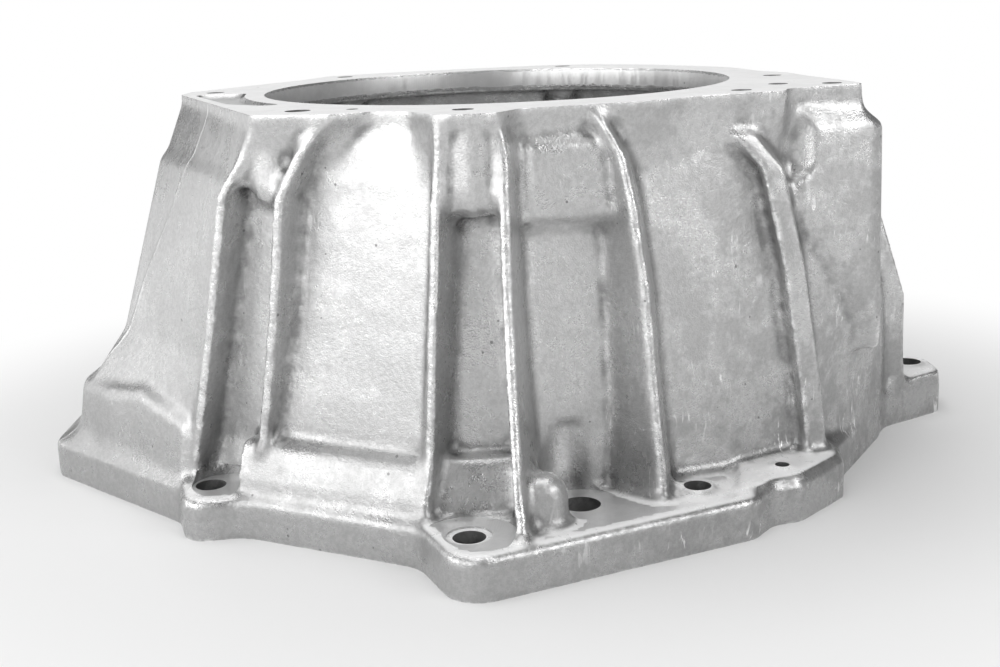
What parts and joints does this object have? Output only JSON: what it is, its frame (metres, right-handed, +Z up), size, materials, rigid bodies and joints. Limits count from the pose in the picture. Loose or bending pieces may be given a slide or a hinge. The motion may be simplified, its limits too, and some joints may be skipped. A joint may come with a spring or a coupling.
{
  "type": "bell housing",
  "caption": "Die cast bell housing with ribbed walls, a bolted engine flange and a round bore in its gearbox face.",
  "frame": {"origin": "where the gearbox bore's axis meets the engine face, which is the centre of the footprint", "axes": "+Z up along the bore towards the gearbox face, +X towards the far right lug, -Y towards the ribbed front"},
  "size_m": [0.44, 0.3876, 0.175],
  "materials": {
    "cast_aluminium": "as cast with machined faces and holes"
  },
  "bodies": {
    "root": {"bell_housing": "cast_aluminium"}
  },
  "joints": []
}
